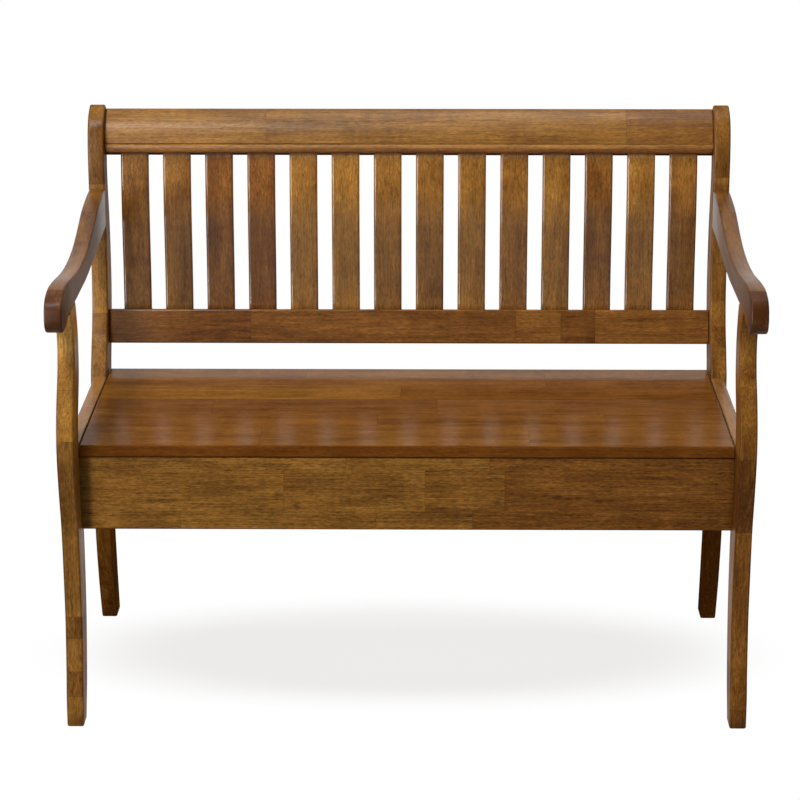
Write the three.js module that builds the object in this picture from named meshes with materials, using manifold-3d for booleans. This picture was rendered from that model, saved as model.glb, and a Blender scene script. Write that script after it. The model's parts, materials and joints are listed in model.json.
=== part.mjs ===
// Deacons bench with a hinged seat lid over a shallow storage box.
// Millimetres, +Z up, +X to the right as seen from the front, the sitter faces -Y.
// The origin lies on the floor, in the middle of the width and the depth.
import * as THREE from 'three';
import * as BufferGeometryUtils from 'three/addons/utils/BufferGeometryUtils.js';
import Module from 'manifold-3d';

const wasm = await Module();
wasm.setup();

// Overall sizes
const benchWidth = 1120;
const benchHeight = 930;
const benchDepth = 668;
const seatHeight = 468;
const armUndersideHeight = 700;

// Stock and fits
const frameThickness = 28;
const frameRoundover = 3;
const fitGap = 0.3;
const cutOverrun = 6;
const curveFlatness = 0.4;
const curveSteps = 8;
const bevelSteps = 2;

// Front leg, sawn to a long double curve
const toeSetback = 60;
const legDepth = 119;
const legFrontShares = [
  [0.08, 0.0], [0.107, 0.071], [0.202, 0.144], [0.294, 0.26], [0.294, 0.364], [0.269, 0.481], [0.168, 0.571],
  [0.109, 0.654], [0.143, 0.721], [0.294, 0.79], [0.513, 0.854], [0.588, 0.914], [0.51, 0.964], [0.31, 1.0],
  [0.18, 1.018],
];
const legRearShares = [
  [0.37, 0.0], [0.513, 0.056], [0.588, 0.091], [0.697, 0.166], [0.782, 0.241], [0.84, 0.339], [0.846, 0.439],
  [0.785, 0.529], [0.7, 0.607], [0.65, 0.679], [0.697, 0.729], [0.832, 0.779], [0.95, 0.829], [1.0, 0.9],
  [0.958, 0.957], [0.874, 1.0], [0.82, 1.018],
];

// Back post and rear leg in one plank, rolled back at the top
const postDepth = 169;
const postFrontShares = [
  [0.31, 0.0], [0.25, 0.03], [0.148, 0.087], [0.077, 0.143], [0.03, 0.189], [0.006, 0.254], [0.018, 0.356],
  [0.065, 0.443], [0.101, 0.503], [0.16, 0.527], [0.254, 0.561], [0.325, 0.581], [0.396, 0.613], [0.444, 0.646],
  [0.473, 0.691], [0.491, 0.745], [0.494, 0.781], [0.494, 0.853], [0.509, 0.918], [0.539, 0.947], [0.586, 0.969],
  [0.645, 0.983], [0.728, 0.993], [0.822, 1.0],
];
const postRearShares = [
  [0.568, 0.0], [0.538, 0.035], [0.509, 0.063], [0.479, 0.097], [0.45, 0.135], [0.42, 0.173], [0.414, 0.248],
  [0.438, 0.324], [0.473, 0.4], [0.521, 0.464], [0.574, 0.508], [0.633, 0.537], [0.704, 0.572], [0.775, 0.612],
  [0.817, 0.648], [0.84, 0.691], [0.846, 0.734], [0.834, 0.783], [0.805, 0.823], [0.775, 0.869], [0.793, 0.902],
  [0.828, 0.931], [0.905, 0.956], [1.0, 0.977],
];

// Arm on edge, dipped in the middle, with a blunt rounded nose
const armRise = 90;
const armTopShares = [
  [0.0, 0.167], [0.007, 0.344], [0.024, 0.478], [0.053, 0.554], [0.096, 0.589], [0.163, 0.567], [0.233, 0.522],
  [0.319, 0.456], [0.405, 0.422], [0.506, 0.433], [0.603, 0.5], [0.68, 0.611], [0.748, 0.74], [0.822, 0.874],
  [0.922, 0.969], [1.0, 1.0], [1.06, 1.01],
];
const armUndersideRearShares = [
  [1.06, 0.268], [1.0, 0.25], [0.886, 0.2], [0.8, 0.156], [0.673, 0.077], [0.567, 0.014], [0.515, 0.0],
];
const armUndersideNoseShares = [
  [0.15, 0.0], [0.113, -0.067], [0.079, -0.111], [0.053, -0.122], [0.027, -0.105], [0.012, -0.048], [0.003, 0.038],
];

// Seat box
const apronHeight = 125;
const apronThickness = 18;
const apronSetback = 72;
const apronRoundover = 1.5;
const backApronInset = 22;
const sideRailThickness = 22;
const sideRailRoundover = 2;
const cleatSize = 18;
const bottomThickness = 9;
const bottomEdgeGap = 1;

// Seat lid and its battens
const lidThickness = 19;
const lidRoundover = 2;
const lidOverhang = 2;
const lidRearOverhang = 1;
const lidEndGap = 1.6;
const battenWidth = 45;
const battenThickness = 18;
const battenSpacing = 640;
const battenFrontClearance = 35;
const battenRearClearance = 45;

// Lower back rail
const railAboveSeat = 41.5;
const railHeight = 60;
const railThickness = 24;
const railRecline = THREE.MathUtils.degToRad(13.5);
const railRoundover = 3;

// Crest rail, rolled back like the posts, with a bead along its lower edge
const crestDrop = 8.5;
const crestHeight = 70.5;
const crestSweep = 42.5;
const crestThickness = 24;
const crestRecess = 19.5;
const crestRoundover = 6;
const crestFootTilt = THREE.MathUtils.degToRad(20);
const beadHeight = 14;
const beadDepth = 2.4;
const quirkWidth = 2;
const quirkDepth = 1.8;
const beadTurns = [-1, -0.6, -0.2, 0.2, 0.6, 1].map((share) => share * (Math.PI / 2));
const crestNoseTurns = [0.25, 0.5, 0.75].map((share) => share * Math.PI);
const crestFaceShares = [
  [0.035, 0.248], [0.106, 0.436], [0.259, 0.632], [0.47, 0.797], [0.741, 0.925], [1.0, 1.0],
];

// Back slats
const slatWidth = 49;
const slatGap = 25;
const slatThickness = 12;
const slatInset = 6;
const slatRoundover = 2.5;
const slatStub = 12;
const slatBevelSteps = 1;
const slatCurveShares = [
  [0.0, 0.0], [0.17, 0.13], [0.3, 0.3], [0.34, 0.52], [0.43, 0.68], [0.68, 0.86], [1.0, 1.0],
];

// Butt hinges along the rear edge of the lid
const hingeSpacing = 660;
const hingeLength = 76;
const hingeLeafWidth = 15;
const hingeLeafThickness = 1.5;
const hingeBarrelRadius = 3.2;
const hingePinRadius = 1.5;
const hingePinHead = 1;
const hingeKnuckles = 5;
const hingeKnuckleGap = 0.4;
const hingeKnuckleSides = 10;
const hingePinSides = 10;

// Tenons; each pair of shares is where one starts and ends on the piece that carries it
const tenonDepth = 18;
const tenonThickness = 9;
const tenonEndGap = 0.5;
const legTopTenonShares = [0.22, 0.78];
const armTenonShares = [0.4, 0.86];
const sideRailTenonShares = [0.52, 0.9];
const apronTenonShares = [0.1, 0.5];
const crestTenonHeight = 30;
const crestTenonLean = THREE.MathUtils.degToRad(7);
const crestTenonShares = [0.58, 0.26];
const railTenonHeight = 34;

// Screws
const screwSides = 6;
const battenScrewShankRadius = 2;
const battenScrewHeadRadius = 4;
const battenScrewLength = 28;
const battenScrewShares = [-0.36, 0, 0.36];
const hingeScrewShankRadius = 1.4;
const hingeScrewHeadRadius = 2.8;
const hingeScrewLength = 12;
const hingeScrewShares = [-0.36, 0, 0.36];

// Reference planes and levels that follow from the sizes above
const innerHalf = benchWidth / 2 - frameThickness;
const frontPlane = -benchDepth / 2;
const rearPlane = benchDepth / 2;
const toeY = frontPlane + toeSetback;
const postToeY = rearPlane - postDepth;
const lidBottom = seatHeight - lidThickness;
const apronTop = lidBottom - fitGap;
const apronBottom = apronTop - apronHeight;
const pinHeight = lidBottom - fitGap / 2;
const frameMiddle = benchWidth / 2 - frameThickness / 2;

// Finishes
const golden = { color: 0x8a5a2b, roughness: 0.38, metalness: 0 };
const reddish = { color: 0x74431f, roughness: 0.34, metalness: 0 };
const dark = { color: 0x5f371c, roughness: 0.4, metalness: 0 };
const rawPine = { color: 0xb58e5e, roughness: 0.6, metalness: 0 };
const brass = { color: 0x9a7b3e, roughness: 0.35, metalness: 0.9 };
const zincSteel = { color: 0x8f8d86, roughness: 0.4, metalness: 0.9 };

const bench = new THREE.Group();

// Booleans: a closed three.js geometry becomes a solid that can be joined and cut
function solidOf(geometry) {
  const bare = geometry.clone();
  bare.deleteAttribute('normal');
  bare.deleteAttribute('uv');
  const merged = BufferGeometryUtils.mergeVertices(bare);
  const vertProperties = new Float32Array(merged.attributes.position.array);
  const triVerts = new Uint32Array(merged.index.array);
  return new wasm.Manifold(new wasm.Mesh({ numProp: 3, vertProperties, triVerts }));
}

function geometryOf(solid) {
  const mesh = solid.getMesh();
  const geometry = new THREE.BufferGeometry();
  geometry.setAttribute('position', new THREE.BufferAttribute(mesh.vertProperties, 3));
  geometry.setIndex(new THREE.BufferAttribute(mesh.triVerts, 1));
  geometry.computeVertexNormals();
  return geometry;
}

function joined(solids) {
  return solids.reduce((whole, solid) => whole.add(solid));
}

function cut(solid, tools) {
  return tools.reduce((left, tool) => left.subtract(tool), solid);
}

function addPiece(name, solid, finish) {
  const material = new THREE.MeshStandardMaterial({ ...finish, flatShading: true });
  const mesh = new THREE.Mesh(geometryOf(solid), material);
  mesh.name = name;
  bench.add(mesh);
}

function addPieces(name, solids, finish) {
  solids.forEach((solid, index) => addPiece(`${name}_${index + 1}`, solid, finish));
}

// Keep only the points that an edge needs to stay this close to its curve
function thinned(points) {
  const first = points[0];
  const last = points[points.length - 1];
  const across = new THREE.Vector2(first.y - last.y, last.x - first.x).normalize();
  const offsets = points.map((point) => Math.abs(point.clone().sub(first).dot(across)));
  const widest = offsets.indexOf(Math.max(...offsets));
  if (offsets[widest] < curveFlatness) return [first, last];
  const before = thinned(points.slice(0, widest + 1));
  const after = thinned(points.slice(widest));
  return [...before, ...after.slice(1)];
}

// Curves: shares of a width and a height become a smooth edge of points
function edgeCurve(shares, startY, sizeY, startZ, sizeZ) {
  const points = shares.map(([y, z]) => new THREE.Vector2(startY + y * sizeY, startZ + z * sizeZ));
  return thinned(new THREE.SplineCurve(points).getPoints(curveSteps * points.length));
}

// Where an edge, given from low to high, stands at a height
function edgeAt(edge, height) {
  const upper = edge.findIndex((point) => point.y >= height);
  if (upper < 0) return edge[edge.length - 1].x;
  if (upper === 0) return edge[0].x;
  const low = edge[upper - 1];
  const high = edge[upper];
  return THREE.MathUtils.mapLinear(height, low.y, high.y, low.x, high.x);
}

// A side-view outline (depth, height) extruded across the bench, centred on centreX
function sideBoard(outline, thickness, roundover, centreX, bevelSegments = bevelSteps) {
  const shape = new THREE.Shape(outline);
  const geometry = new THREE.ExtrudeGeometry(shape, {
    depth: thickness - 2 * roundover,
    bevelEnabled: roundover > 0,
    bevelThickness: roundover,
    bevelSize: roundover,
    bevelOffset: -roundover,
    bevelSegments,
  });
  geometry.translate(0, 0, roundover - thickness / 2);
  const axes = new THREE.Matrix4().makeBasis(
    new THREE.Vector3(0, 1, 0),
    new THREE.Vector3(0, 0, 1),
    new THREE.Vector3(1, 0, 0),
  );
  geometry.applyMatrix4(axes);
  geometry.translate(centreX, 0, 0);
  return solidOf(geometry);
}

// A plain block between two corners, used as a cutter and for square stock
function block(x0, x1, y0, y1, z0, z1) {
  const geometry = new THREE.BoxGeometry(x1 - x0, y1 - y0, z1 - z0);
  geometry.translate((x0 + x1) / 2, (y0 + y1) / 2, (z0 + z1) / 2);
  return solidOf(geometry);
}

// A flat panel between two corners with every long edge rounded over
function panel(x0, x1, y0, y1, z0, z1, roundover) {
  const shape = new THREE.Shape();
  shape.moveTo(x0, y0);
  shape.lineTo(x1, y0);
  shape.lineTo(x1, y1);
  shape.lineTo(x0, y1);
  const geometry = new THREE.ExtrudeGeometry(shape, {
    depth: z1 - z0 - 2 * roundover,
    bevelEnabled: true,
    bevelThickness: roundover,
    bevelSize: roundover,
    bevelOffset: -roundover,
    bevelSegments: bevelSteps,
  });
  geometry.translate(0, 0, z0 + roundover);
  return solidOf(geometry);
}

// A rail's section with rounded corners, from its centre, leaning back by an angle
function roundedSection(depth, height, roundover, centreY, centreZ, recline) {
  const reach = new THREE.Vector2(depth / 2 - roundover, height / 2 - roundover);
  const corners = [[-1, -1], [1, -1], [1, 1], [-1, 1]];
  const turns = roundover > 0 ? [0, Math.PI / 4, Math.PI / 2] : [0];
  const outline = [];
  corners.forEach(([sideY, sideZ], index) => {
    const startAngle = Math.PI + index * (Math.PI / 2);
    for (const turn of turns) {
      const around = new THREE.Vector2(Math.cos(startAngle + turn), Math.sin(startAngle + turn));
      const corner = new THREE.Vector2(sideY * reach.x, sideZ * reach.y);
      outline.push(corner.add(around.multiplyScalar(roundover)));
    }
  });
  const pivot = new THREE.Vector2(0, 0);
  const centre = new THREE.Vector2(centreY, centreZ);
  return outline.map((point) => point.rotateAround(pivot, -recline).add(centre));
}

// A round peg along a direction, from its middle
function peg(radius, length, middle, direction, sides) {
  const geometry = new THREE.CylinderGeometry(radius, radius, length, sides);
  const up = new THREE.Vector3(0, 1, 0);
  geometry.applyQuaternion(new THREE.Quaternion().setFromUnitVectors(up, direction));
  geometry.translate(middle.x, middle.y, middle.z);
  return solidOf(geometry);
}

// A countersunk wood screw from its head's face, driven along a direction; grow widens it to its hole
function screw(shankRadius, headRadius, length, face, direction, grow, headRise) {
  const tipDepth = -length - grow;
  const headDepth = headRadius - shankRadius;
  const profile = [
    new THREE.Vector2(0, tipDepth),
    new THREE.Vector2(shankRadius + grow, tipDepth),
    new THREE.Vector2(shankRadius + grow, -headDepth - grow),
    new THREE.Vector2(headRadius + grow, -grow),
  ];
  if (headRise > 0) profile.push(new THREE.Vector2(headRadius + grow, headRise));
  profile.push(new THREE.Vector2(0, headRise > 0 ? headRise : -grow));
  const geometry = new THREE.LatheGeometry(profile, screwSides);
  const down = new THREE.Vector3(0, -1, 0);
  geometry.applyQuaternion(new THREE.Quaternion().setFromUnitVectors(down, direction));
  geometry.translate(face.x, face.y, face.z);
  return solidOf(geometry);
}

// A row of equal screws with the holes that they need
function screwRow(shankRadius, headRadius, length, faces, direction) {
  const pieces = [];
  const holes = [];
  for (const face of faces) {
    pieces.push(screw(shankRadius, headRadius, length, face, direction, 0, 0));
    holes.push(screw(shankRadius, headRadius, length, face, direction, fitGap, cutOverrun));
  }
  return { pieces, holes };
}

// Edges of the sawn boards, in the side view
const legFront = edgeCurve(legFrontShares, toeY, legDepth, 0, armUndersideHeight);
const legRear = edgeCurve(legRearShares, toeY, legDepth, 0, armUndersideHeight);
const postFront = edgeCurve(postFrontShares, postToeY, postDepth, 0, benchHeight);
const postRear = edgeCurve(postRearShares, postToeY, postDepth, 0, benchHeight);
const armLength = edgeAt(postFront, armUndersideHeight + armRise) - frontPlane;
const armShape = (shares) => edgeCurve(shares, frontPlane, armLength, armUndersideHeight, armRise);

// Everything in front of, or behind, an edge, as a cutter that spans the bench's side
function beyondEdge(edge, shift, reach) {
  const outline = edge.map((point) => new THREE.Vector2(point.x + shift, point.y));
  const last = outline[outline.length - 1];
  outline.push(new THREE.Vector2(last.x + reach, last.y));
  outline.push(new THREE.Vector2(outline[0].x + reach, outline[0].y));
  return sideBoard(outline, benchWidth + 2 * cutOverrun, 0, 0);
}

// Seat box levels, from the edges of the legs and posts
const apronFront = toeY + apronSetback;
const apronRear = apronFront + apronThickness;
const backRear = edgeAt(postRear, apronTop) - backApronInset;
const backFront = backRear - apronThickness;
const lidFront = apronFront - lidOverhang;
const lidRear = backRear + lidRearOverhang;
const pinY = lidRear + fitGap + hingeBarrelRadius;
const bottomLow = apronBottom + cleatSize + fitGap;
const frontApronMiddle = (apronFront + apronRear) / 2;
const backApronMiddle = (backFront + backRear) / 2;
const frontCleat = apronRear + fitGap;
const backCleat = backFront - fitGap - cleatSize;
const crossLength = 2 * (innerHalf - fitGap);

// Lower back rail: centred in the posts, leaning back
const railUp = new THREE.Vector2(Math.sin(railRecline), Math.cos(railRecline));
const railBack = new THREE.Vector2(Math.cos(railRecline), -Math.sin(railRecline));
const railHalfRise = (railHeight / 2) * railUp.y + (railThickness / 2) * railUp.x;
const railCentreZ = seatHeight + railAboveSeat + railHalfRise;
const railCentreY = (edgeAt(postFront, railCentreZ) + edgeAt(postRear, railCentreZ)) / 2;
const railCentre = new THREE.Vector2(railCentreY, railCentreZ);

// Crest rail: its lower front edge stands a little behind the posts' front edge
const crestBottomZ = benchHeight - crestDrop - crestHeight;
const crestFoot = new THREE.Vector2(edgeAt(postFront, crestBottomZ) + crestRecess, crestBottomZ);
const crestFootBack = new THREE.Vector2(Math.cos(crestFootTilt), -Math.sin(crestFootTilt));

// Section of the crest rail, in the side view, from its lower front edge
function crestSection() {
  const face = edgeCurve(crestFaceShares, crestFoot.x, crestSweep, crestFoot.y, crestHeight);
  const bead = [];
  for (const turn of beadTurns) {
    const out = beadDepth * (1 - Math.cos(turn));
    const up = (beadHeight / 2) * (1 + Math.sin(turn));
    bead.push(new THREE.Vector2(crestFoot.x + out, crestFoot.y + up));
  }
  const quirk = new THREE.Vector2(beadDepth + quirkDepth, beadHeight + quirkWidth / 2).add(crestFoot);
  const normals = face.map((point, index) => {
    const before = face[Math.max(index - 1, 0)];
    const after = face[Math.min(index + 1, face.length - 1)];
    const along = after.clone().sub(before).normalize();
    return new THREE.Vector2(along.y, -along.x);
  });
  const rear = face.map((point, index) => point.clone().addScaledVector(normals[index], crestThickness));
  const tip = normals[normals.length - 1];
  const along = new THREE.Vector2(-tip.y, tip.x);
  const nose = [];
  for (const turn of crestNoseTurns) {
    const middle = face[face.length - 1].clone().addScaledVector(tip, crestThickness / 2);
    middle.addScaledVector(tip, (-crestThickness / 2) * Math.cos(turn));
    nose.push(middle.addScaledVector(along, crestRoundover * Math.sin(turn)));
  }
  const heel = crestFoot.clone().addScaledVector(crestFootBack, crestThickness);
  return [...bead, quirk, ...face, ...nose, ...rear.reverse(), heel];
}

// Centre line of the slats, from the lower rail to the crest, with a stub into each
function slatLine(stub) {
  const middle = slatInset + slatThickness / 2;
  const start = railCentre.clone().addScaledVector(railUp, railHeight / 2);
  start.addScaledVector(railBack, middle - railThickness / 2);
  const end = crestFoot.clone().addScaledVector(crestFootBack, middle);
  const points = slatCurveShares.map(([y, z]) => new THREE.Vector2(
    THREE.MathUtils.lerp(start.x, end.x, y),
    THREE.MathUtils.lerp(start.y, end.y, z),
  ));
  const line = new THREE.SplineCurve(points).getPoints(points.length);
  const rise = line[1].clone().sub(line[0]).normalize();
  const last = line.length - 1;
  const topRise = line[last].clone().sub(line[last - 1]).normalize();
  line[0].addScaledVector(rise, -stub);
  line[last].addScaledVector(topRise, stub);
  return line;
}

// One slat; grow widens it on all sides to make the mortises that it enters
function slat(centreX, grow) {
  const line = slatLine(slatStub + grow);
  const front = [];
  const rear = [];
  line.forEach((point, index) => {
    const before = line[Math.max(index - 1, 0)];
    const after = line[Math.min(index + 1, line.length - 1)];
    const along = after.clone().sub(before).normalize();
    const back = new THREE.Vector2(along.y, -along.x).multiplyScalar(slatThickness / 2 + grow);
    front.push(point.clone().sub(back));
    rear.unshift(point.clone().add(back));
  });
  return sideBoard([...front, ...rear], slatWidth + 2 * grow, slatRoundover, centreX, slatBevelSteps);
}

// Tenons. Grow widens one on all sides, and lengthens it, to make its mortise
function crossTenon(thickness, height, centre, recline, grow) {
  const outline = roundedSection(thickness + 2 * grow, height + 2 * grow, 0, centre.x, centre.y, recline);
  const reach = innerHalf + tenonDepth + (grow > 0 ? tenonEndGap : 0);
  return sideBoard(outline, 2 * reach, 0, 0);
}

function crestTenon(grow) {
  const [back, up] = crestTenonShares;
  const centre = new THREE.Vector2(back * crestThickness, up * crestHeight).add(crestFoot);
  return crossTenon(tenonThickness, crestTenonHeight, centre, crestTenonLean, grow);
}

function railTenon(grow) {
  return crossTenon(tenonThickness, railTenonHeight, railCentre, railRecline, grow);
}

function apronTenon(middleY, grow) {
  const [low, high] = apronTenonShares;
  const centre = new THREE.Vector2(middleY, apronBottom + ((low + high) / 2) * apronHeight);
  return crossTenon(tenonThickness, (high - low) * apronHeight, centre, 0, grow);
}

function sideRailTenon(side, grow) {
  const middle = side * (innerHalf + sideRailThickness / 2);
  const half = tenonThickness / 2 + grow;
  const height = seatHeight - apronBottom;
  const [low, high] = sideRailTenonShares.map((share) => apronBottom + share * height);
  const reach = tenonDepth + (grow > 0 ? tenonEndGap : 0);
  return block(
    middle - half, middle + half,
    edgeAt(legRear, high) - reach, edgeAt(postFront, high) + reach,
    low - grow, high + grow,
  );
}

function armRearTenon(side, grow) {
  const half = tenonThickness / 2 + grow;
  const [low, high] = armTenonShares.map((share) => armUndersideHeight + share * armRise);
  const rear = edgeAt(postFront, (low + high) / 2);
  return block(
    side * frameMiddle - half, side * frameMiddle + half,
    rear - tenonDepth, rear + tenonDepth + (grow > 0 ? tenonEndGap : 0),
    low - grow, high + grow,
  );
}

function legTopTenon(side, grow) {
  const half = tenonThickness / 2 + grow;
  const front = edgeAt(legFront, armUndersideHeight);
  const width = edgeAt(legRear, armUndersideHeight) - front;
  const [near, far] = legTopTenonShares.map((share) => front + share * width);
  return block(
    side * frameMiddle - half, side * frameMiddle + half,
    near - grow, far + grow,
    armUndersideHeight - tenonDepth, armUndersideHeight + tenonDepth + (grow > 0 ? tenonEndGap : 0),
  );
}

// The two side frames: leg, arm, post and side rail
function frontLeg(side) {
  const centreX = side * frameMiddle;
  const blank = sideBoard([...legFront, ...[...legRear].reverse()], frameThickness, frameRoundover, centreX);
  const aboveLeg = block(
    centreX - frameThickness, centreX + frameThickness,
    frontPlane, rearPlane,
    armUndersideHeight - fitGap, benchHeight,
  );
  const sawn = blank.subtract(aboveLeg).add(legTopTenon(side, 0));
  return cut(sawn, [sideRailTenon(side, fitGap), apronTenon(frontApronMiddle, fitGap)]);
}

function backPost(side) {
  const outline = [...postFront, ...[...postRear].reverse()];
  const blank = sideBoard(outline, frameThickness, frameRoundover, side * frameMiddle);
  return cut(blank, [
    armRearTenon(side, fitGap),
    sideRailTenon(side, fitGap),
    crestTenon(fitGap),
    railTenon(fitGap),
    apronTenon(backApronMiddle, fitGap),
  ]);
}

function arm(side) {
  const outline = [
    ...armShape(armTopShares),
    ...armShape(armUndersideRearShares),
    ...armShape(armUndersideNoseShares),
  ];
  const blank = sideBoard(outline, frameThickness, frameRoundover, side * frameMiddle);
  const behindArm = beyondEdge(postFront, -fitGap, postDepth);
  const sawn = blank.subtract(behindArm).add(armRearTenon(side, 0));
  return sawn.subtract(legTopTenon(side, fitGap));
}

function sideRail(side) {
  const centreX = side * (innerHalf + sideRailThickness / 2);
  const half = sideRailThickness / 2;
  const blank = panel(
    centreX - half, centreX + half,
    frontPlane, rearPlane,
    apronBottom, seatHeight,
    sideRailRoundover,
  );
  const beforeRail = beyondEdge(legRear, fitGap, -benchDepth);
  const behindRail = beyondEdge(postFront, -fitGap, benchDepth);
  return cut(blank, [beforeRail, behindRail]).add(sideRailTenon(side, 0));
}

// The rails between the side frames, with the mortises that take the slats
function lowerRail(mortises) {
  const section = roundedSection(
    railThickness, railHeight, railRoundover, railCentre.x, railCentre.y, railRecline,
  );
  return cut(sideBoard(section, crossLength, 0, 0).add(railTenon(0)), mortises);
}

function crestRail(mortises) {
  return cut(sideBoard(crestSection(), crossLength, 0, 0).add(crestTenon(0)), mortises);
}

// The seat box: aprons, bottom and the cleats glued round the inside
function apron(low, high) {
  const half = crossLength / 2;
  const blank = panel(-half, half, low, high, apronBottom, apronTop, apronRoundover);
  return blank.add(apronTenon((low + high) / 2, 0));
}

function longCleat(low) {
  const half = crossLength / 2;
  return block(-half, half, low, low + cleatSize, apronBottom, apronBottom + cleatSize);
}

function sideCleat(side) {
  const middle = side * (crossLength / 2 - cleatSize / 2);
  return block(
    middle - cleatSize / 2, middle + cleatSize / 2,
    frontCleat + cleatSize + fitGap, backCleat - fitGap,
    apronBottom, apronBottom + cleatSize,
  );
}

function boxBottom() {
  const half = innerHalf - bottomEdgeGap;
  return block(
    -half, half,
    apronRear + bottomEdgeGap, backFront - bottomEdgeGap,
    bottomLow, bottomLow + bottomThickness,
  );
}

// Butt hinge: two leaves with interlocking knuckles on one pin
function hingeLeaf(centreX, ownKnuckles, leafLow) {
  const half = hingeLength / 2;
  const pitch = hingeLength / hingeKnuckles;
  const alongX = new THREE.Vector3(1, 0, 0);
  const leafHigh = leafLow + hingeLeafThickness;
  const parts = [block(centreX - half, centreX + half, lidRear - hingeLeafWidth, lidRear, leafLow, leafHigh)];
  for (const knuckle of ownKnuckles) {
    const start = centreX - half + knuckle * pitch + hingeKnuckleGap / 2;
    const end = start + pitch - hingeKnuckleGap;
    const middle = new THREE.Vector3((start + end) / 2, pinY, pinHeight);
    parts.push(peg(hingeBarrelRadius, end - start, middle, alongX, hingeKnuckleSides));
    parts.push(block(start, end, lidRear - hingeLeafThickness, pinY, leafLow, leafHigh));
  }
  const bore = new THREE.Vector3(centreX, pinY, pinHeight);
  const boreLength = hingeLength + 2 * cutOverrun;
  const pinHole = peg(hingePinRadius + fitGap, boreLength, bore, alongX, hingePinSides);
  return joined(parts).subtract(pinHole);
}

function hinge(centreX) {
  const leafMiddle = lidRear - hingeLeafWidth / 2;
  const places = (height) => hingeScrewShares.map((share) => (
    new THREE.Vector3(centreX + share * hingeLength, leafMiddle, height)
  ));
  const drive = (faces, direction) => (
    screwRow(hingeScrewShankRadius, hingeScrewHeadRadius, hingeScrewLength, faces, direction)
  );
  const frameScrews = drive(places(apronTop), new THREE.Vector3(0, 0, -1));
  const lidScrews = drive(places(lidBottom), new THREE.Vector3(0, 0, 1));
  const knuckles = Array.from({ length: hingeKnuckles }, (_, index) => index);
  const outer = knuckles.filter((index) => index % 2 === 0);
  const inner = knuckles.filter((index) => index % 2 === 1);
  const half = hingeLength / 2 + fitGap;
  const recess = (low, high) => block(
    centreX - half, centreX + half,
    lidRear - hingeLeafWidth - fitGap, lidRear + cutOverrun,
    low, high,
  );
  return {
    frameLeaf: cut(hingeLeaf(centreX, outer, apronTop - hingeLeafThickness), frameScrews.holes),
    lidLeaf: cut(hingeLeaf(centreX, inner, lidBottom), lidScrews.holes),
    pin: peg(
      hingePinRadius, hingeLength + 2 * hingePinHead,
      new THREE.Vector3(centreX, pinY, pinHeight), new THREE.Vector3(1, 0, 0), hingePinSides,
    ),
    frameScrews,
    lidScrews,
    frameCuts: [
      recess(apronTop - hingeLeafThickness - fitGap, apronTop + cutOverrun),
      ...frameScrews.holes,
    ],
    lidCuts: [
      recess(lidBottom - cutOverrun, lidBottom + hingeLeafThickness + fitGap),
      ...lidScrews.holes,
    ],
  };
}

// Lid with its battens
function battenScrewRow(centreX) {
  const start = apronRear + battenFrontClearance;
  const end = backFront - battenRearClearance;
  const faces = battenScrewShares.map((share) => new THREE.Vector3(
    centreX,
    (start + end) / 2 + share * (end - start),
    lidBottom - fitGap - battenThickness,
  ));
  const up = new THREE.Vector3(0, 0, 1);
  return screwRow(battenScrewShankRadius, battenScrewHeadRadius, battenScrewLength, faces, up);
}

function batten(centreX, holes) {
  const blank = panel(
    centreX - battenWidth / 2, centreX + battenWidth / 2,
    apronRear + battenFrontClearance, backFront - battenRearClearance,
    lidBottom - fitGap - battenThickness, lidBottom - fitGap,
    sideRailRoundover,
  );
  return cut(blank, holes);
}

function seatLid(holes) {
  const endX = innerHalf - lidEndGap;
  return cut(panel(-endX, endX, lidFront, lidRear, lidBottom, seatHeight, lidRoundover), holes);
}

// Put the bench together, with as many slats as stand between the posts at their pitch
const sides = [{ word: 'left', side: -1 }, { word: 'right', side: 1 }];
const slatPitch = slatWidth + slatGap;
const slatCount = Math.floor((2 * innerHalf) / slatPitch);
const slatPlaces = Array.from({ length: slatCount }, (_, index) => (index - (slatCount - 1) / 2) * slatPitch);
const mortises = slatPlaces.map((x) => slat(x, fitGap));
const hinges = sides.map(({ side }) => hinge(side * (hingeSpacing / 2)));
const battenScrews = sides.map(({ side }) => battenScrewRow(side * (battenSpacing / 2)));

for (const { word, side } of sides) {
  addPiece(`front_leg_${word}`, frontLeg(side), golden);
  addPiece(`back_post_${word}`, backPost(side), golden);
  addPiece(`arm_${word}`, arm(side), reddish);
  addPiece(`side_rail_${word}`, sideRail(side), reddish);
}

addPiece('crest_rail', crestRail(mortises), golden);
addPiece('lower_back_rail', lowerRail(mortises), dark);
slatPlaces.forEach((x, index) => {
  addPiece(`slat_${String(index + 1).padStart(2, '0')}`, slat(x, 0), dark);
});

addPiece('front_apron', apron(apronFront, apronRear), golden);
addPiece('back_apron', cut(apron(backFront, backRear), hinges.flatMap((each) => each.frameCuts)), dark);
addPiece('cleat_front', longCleat(frontCleat), rawPine);
addPiece('cleat_back', longCleat(backCleat), rawPine);
addPiece('cleat_left', sideCleat(-1), rawPine);
addPiece('cleat_right', sideCleat(1), rawPine);
addPiece('box_bottom', boxBottom(), rawPine);

addPiece('seat_lid', seatLid([
  ...hinges.flatMap((each) => each.lidCuts),
  ...battenScrews.flatMap((row) => row.holes),
]), reddish);

sides.forEach(({ word, side }, index) => {
  const { frameLeaf, lidLeaf, pin, frameScrews, lidScrews } = hinges[index];
  addPiece(`lid_batten_${word}`, batten(side * (battenSpacing / 2), battenScrews[index].holes), dark);
  addPiece(`hinge_frame_leaf_${word}`, frameLeaf, brass);
  addPiece(`hinge_lid_leaf_${word}`, lidLeaf, brass);
  addPiece(`hinge_pin_${word}`, pin, brass);
  addPieces(`batten_screw_${word}`, battenScrews[index].pieces, zincSteel);
  addPieces(`hinge_frame_screw_${word}`, frameScrews.pieces, brass);
  addPieces(`hinge_lid_screw_${word}`, lidScrews.pieces, brass);
});

export default bench;
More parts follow.
